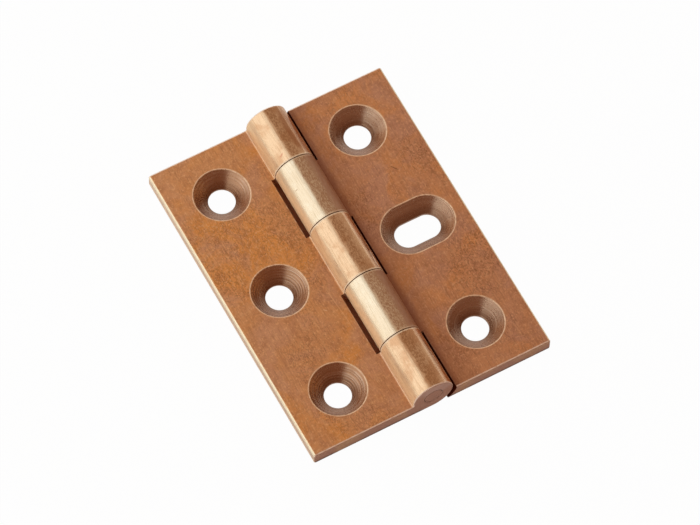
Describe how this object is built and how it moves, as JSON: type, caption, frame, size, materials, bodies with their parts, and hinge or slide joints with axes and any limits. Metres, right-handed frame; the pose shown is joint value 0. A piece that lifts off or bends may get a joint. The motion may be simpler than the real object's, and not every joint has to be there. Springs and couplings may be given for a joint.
{
  "type": "butt hinge",
  "caption": "Solid drawn brass butt hinge, open flat: a leaf with countersunk screw holes and a leaf with a countersunk slot in its middle turn on a plain pin.",
  "frame": {"origin": "under the middle of the barrel, in the plane of the leaves' back faces", "axes": "+Y along the hinge axis to the far end; +Z out of the countersunk side; +X towards the slotted leaf"},
  "size_m": [0.038, 0.05, 0.0063],
  "materials": {
    "plain_leaf_brass": "aged and brushed, worn bright on the barrel and the edges",
    "slotted_leaf_brass": "aged and brushed, worn bright on the barrel and the edges",
    "pin_brass": "aged, ends dressed flush"
  },
  "bodies": {
    "plain_leaf": {"plain_leaf": "plain_leaf_brass", "hinge_pin": "pin_brass"},
    "slotted_leaf": {"slotted_leaf": "slotted_leaf_brass"}
  },
  "joints": [
    {"name": "leaf_swing", "type": "hinge", "parent": "plain_leaf", "child": "slotted_leaf", "pos_m": [0, 0, 0.00315], "axis": [0, -1, 0], "range_deg": [-72, 183]}
  ]
}
